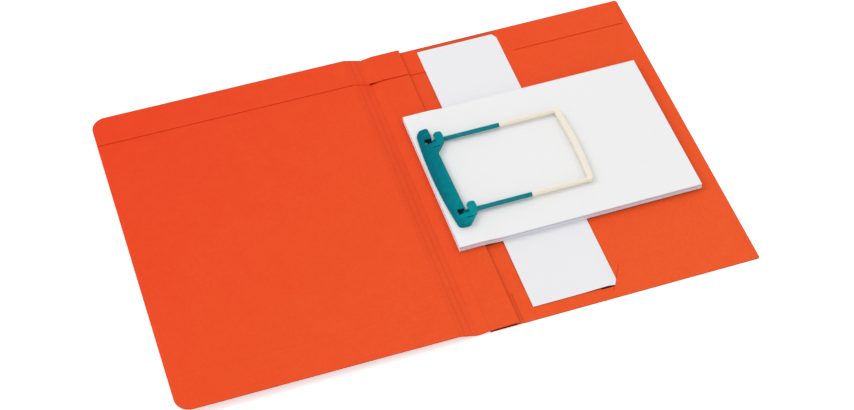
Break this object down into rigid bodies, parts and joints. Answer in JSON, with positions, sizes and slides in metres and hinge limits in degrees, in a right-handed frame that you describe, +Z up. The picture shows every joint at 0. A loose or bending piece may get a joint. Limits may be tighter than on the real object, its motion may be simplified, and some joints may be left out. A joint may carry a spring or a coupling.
{
  "type": "clip folder",
  "caption": "Open board document folder with hemmed edges, a scored spine, a loose card strip and a prong clip with bar and bow that holds a block of punched sheets.",
  "frame": {"origin": "on the table, under the middle of the open folder's bounding box", "axes": "+X across the open folder from the front cover to the back cover, +Y from the bottom edge to the top edge, +Z up from the table"},
  "size_m": [0.4776, 0.31, 0.0136],
  "materials": {
    "board": "matt dyed pressboard",
    "card": "matt white card",
    "sheets": "matt white office paper",
    "clip": "satin moulded polypropylene",
    "bow": "satin moulded polypropylene"
  },
  "bodies": {
    "back_half": {"back_cover": "board", "back_top_hem": "board", "back_bottom_hem": "board", "glue_flange": "board", "flange_top_hem": "board", "flange_bottom_hem": "board", "card_strip": "card", "clip_base": "clip", "upper_tube": "clip", "lower_tube": "clip", "sheet_block": "sheets", "top_sheet": "sheets", "clip_bar": "clip"},
    "spine_inner": {"spine_back": "board", "spine_back_top_hem": "board", "spine_back_bottom_hem": "board"},
    "spine_outer": {"spine_front": "board", "spine_front_top_hem": "board", "spine_front_bottom_hem": "board"},
    "front_half": {"front_cover": "board", "front_top_hem": "board", "front_bottom_hem": "board"},
    "bow": {"clip_bow": "bow"}
  },
  "joints": [
    {"name": "spine_fold", "type": "hinge", "parent": "back_half", "child": "spine_inner", "pos_m": [0.01028, 0, 0.00225], "axis": [0, 1, 0], "range_deg": [0, 100]},
    {"name": "gusset_fold", "type": "hinge", "parent": "spine_inner", "child": "spine_outer", "pos_m": [0.00043, 0, 0.00051], "axis": [0, 1, 0], "range_deg": [-28, 0]},
    {"name": "cover_fold", "type": "hinge", "parent": "spine_outer", "child": "front_half", "pos_m": [-0.01479, 0, 0.00546], "axis": [0, 1, 0], "range_deg": [0, 107.5]},
    {"name": "bow_slide", "type": "slide", "parent": "back_half", "child": "bow", "axis": [1, 0, 0], "range_m": [0, 0.028]}
  ],
  "couplings": [
    {"joint": "spine_fold", "follows": "cover_fold", "ratio": 0.93023},
    {"joint": "gusset_fold", "follows": "cover_fold", "ratio": -0.26047}
  ]
}
